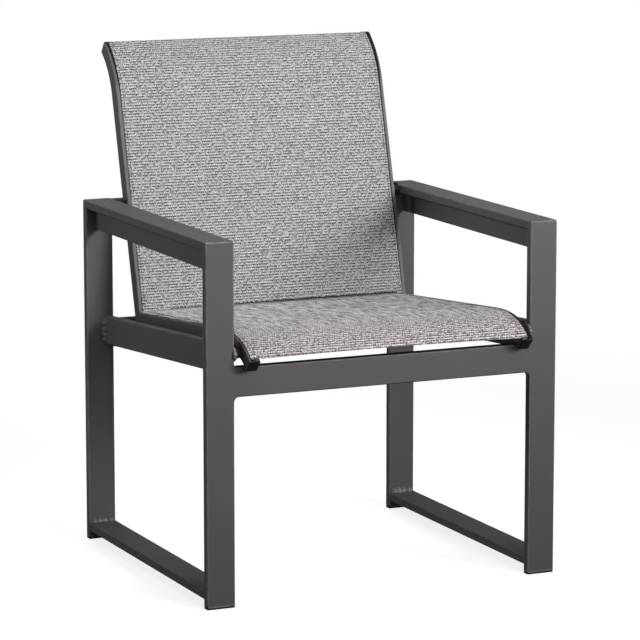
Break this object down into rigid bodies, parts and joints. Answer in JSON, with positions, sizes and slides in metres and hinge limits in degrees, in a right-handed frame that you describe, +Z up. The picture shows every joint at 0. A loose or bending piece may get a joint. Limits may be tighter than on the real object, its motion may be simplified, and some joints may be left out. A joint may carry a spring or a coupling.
{
  "type": "sling patio chair",
  "caption": "Stationary outdoor armchair: dark flat-tube metal frame with wide flat arms and a pale woven sling seat and high back held in slotted side rails.",
  "frame": {"origin": "on the floor, under the middle of the chair's bounding box", "axes": "+Z up, the sitter faces -Y, +X to the right as seen from the front"},
  "size_m": [0.655, 0.6838, 0.8994],
  "materials": {
    "frame_coating": "dark grey textured powder coat",
    "rail_coating": "dark grey powder coat on extrusion",
    "sling_cloth": "woven coated polyester, pale grey with dark dashes",
    "black_plastic": "moulded black plastic",
    "bolt_steel": "plated steel"
  },
  "bodies": {
    "root": {"left_front_leg": "frame_coating", "right_front_leg": "frame_coating", "left_rear_leg": "frame_coating", "right_rear_leg": "frame_coating", "left_arm_cap": "frame_coating", "right_arm_cap": "frame_coating", "left_arm_web": "frame_coating", "right_arm_web": "frame_coating", "left_side_rail": "frame_coating", "right_side_rail": "frame_coating", "left_floor_rail": "frame_coating", "right_floor_rail": "frame_coating", "front_apron": "frame_coating", "lower_rear_crossbar": "frame_coating", "upper_rear_crossbar": "frame_coating", "left_front_boss": "frame_coating", "right_front_boss": "frame_coating", "left_rear_boss": "frame_coating", "right_rear_boss": "frame_coating", "seat_spreader": "frame_coating", "back_spreader": "frame_coating", "left_seat_rail": "rail_coating", "right_seat_rail": "rail_coating", "left_back_rail": "rail_coating", "right_back_rail": "rail_coating", "seat_sling": "sling_cloth", "back_sling": "sling_cloth", "left_seat_spline": "black_plastic", "right_seat_spline": "black_plastic", "left_back_spline": "black_plastic", "right_back_spline": "black_plastic", "left_front_plug": "black_plastic", "right_front_plug": "black_plastic", "left_top_plug": "black_plastic", "right_top_plug": "black_plastic", "left_front_glide": "black_plastic", "right_front_glide": "black_plastic", "left_rear_glide": "black_plastic", "right_rear_glide": "black_plastic", "left_front_bolt": "bolt_steel", "right_front_bolt": "bolt_steel", "left_rear_bolt": "bolt_steel", "right_rear_bolt": "bolt_steel"}
  },
  "joints": []
}
